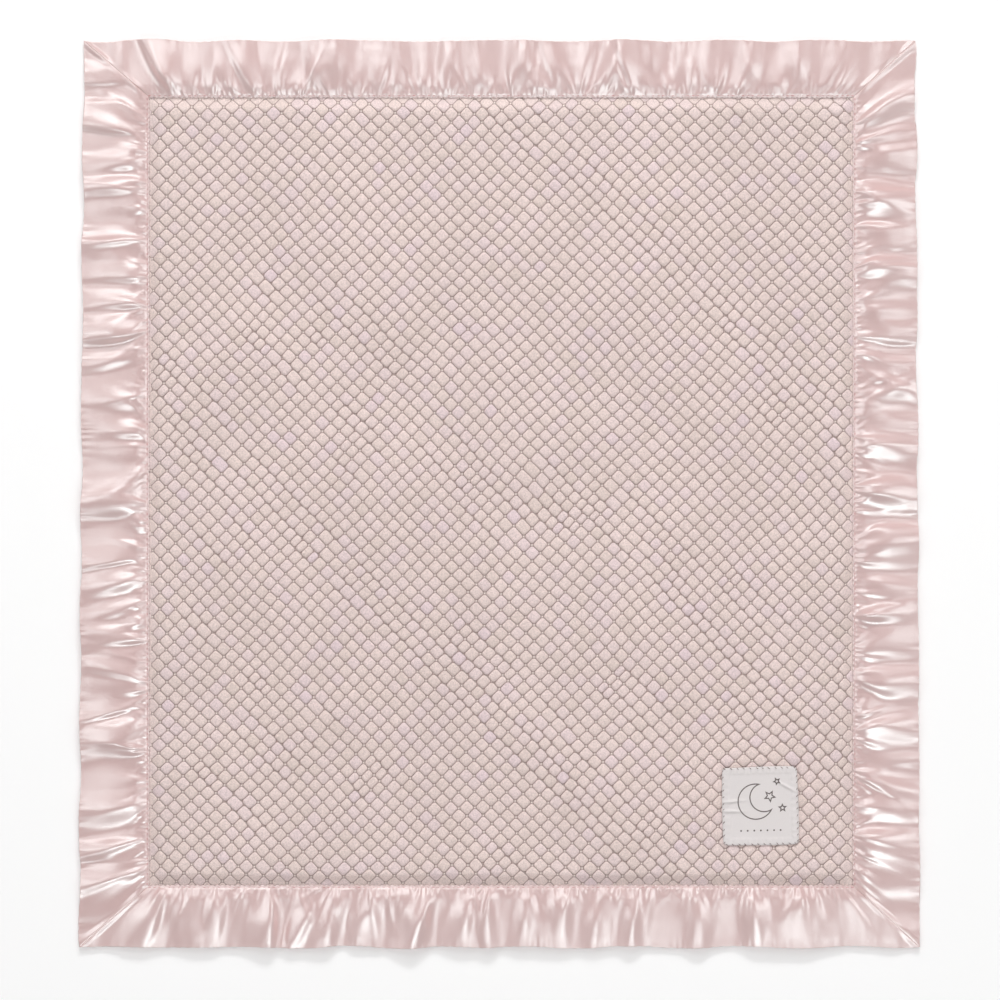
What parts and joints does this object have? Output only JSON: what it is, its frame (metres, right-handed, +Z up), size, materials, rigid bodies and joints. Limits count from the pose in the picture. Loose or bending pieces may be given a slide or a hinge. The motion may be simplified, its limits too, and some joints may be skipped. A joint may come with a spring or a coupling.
{
  "type": "baby blanket",
  "caption": "Flat rectangular baby blanket of embossed plush, bound with a broad gathered satin border mitred at its corners, with a square cloth label sewn on one corner of the field.",
  "frame": {"origin": "under the middle of the blanket's outline, on the surface that it lies on", "axes": "+Z up out of the face, +Y along the longer side towards the top edge, +X to the right of someone who looks down on the face, with the label at the bottom right"},
  "size_m": [0.7428, 0.8014, 0.0098],
  "materials": {
    "plush": "short dusty-pink knitted plush, embossed with small rounded cells in a diamond lattice, matt",
    "satin": "pale pink woven polyester satin, gathered, with a soft gloss",
    "seam_thread": "pink polyester sewing thread",
    "label_cloth": "light grey brushed cotton, plain",
    "label_thread": "taupe sewing thread"
  },
  "bodies": {
    "root": {"face_panel": "plush", "back_panel": "plush", "border_top": "satin", "border_right": "satin", "border_bottom": "satin", "border_left": "satin", "front_stitch_top": "seam_thread", "front_stitch_right": "seam_thread", "front_stitch_bottom": "seam_thread", "front_stitch_left": "seam_thread", "back_stitch_top": "seam_thread", "back_stitch_right": "seam_thread", "back_stitch_bottom": "seam_thread", "back_stitch_left": "seam_thread", "mitre_front_top_left": "seam_thread", "mitre_front_top_right": "seam_thread", "mitre_front_bottom_right": "seam_thread", "mitre_front_bottom_left": "seam_thread", "mitre_back_top_left": "seam_thread", "mitre_back_top_right": "seam_thread", "mitre_back_bottom_right": "seam_thread", "mitre_back_bottom_left": "seam_thread", "label_patch": "label_cloth", "label_stitch": "label_thread"}
  },
  "joints": []
}
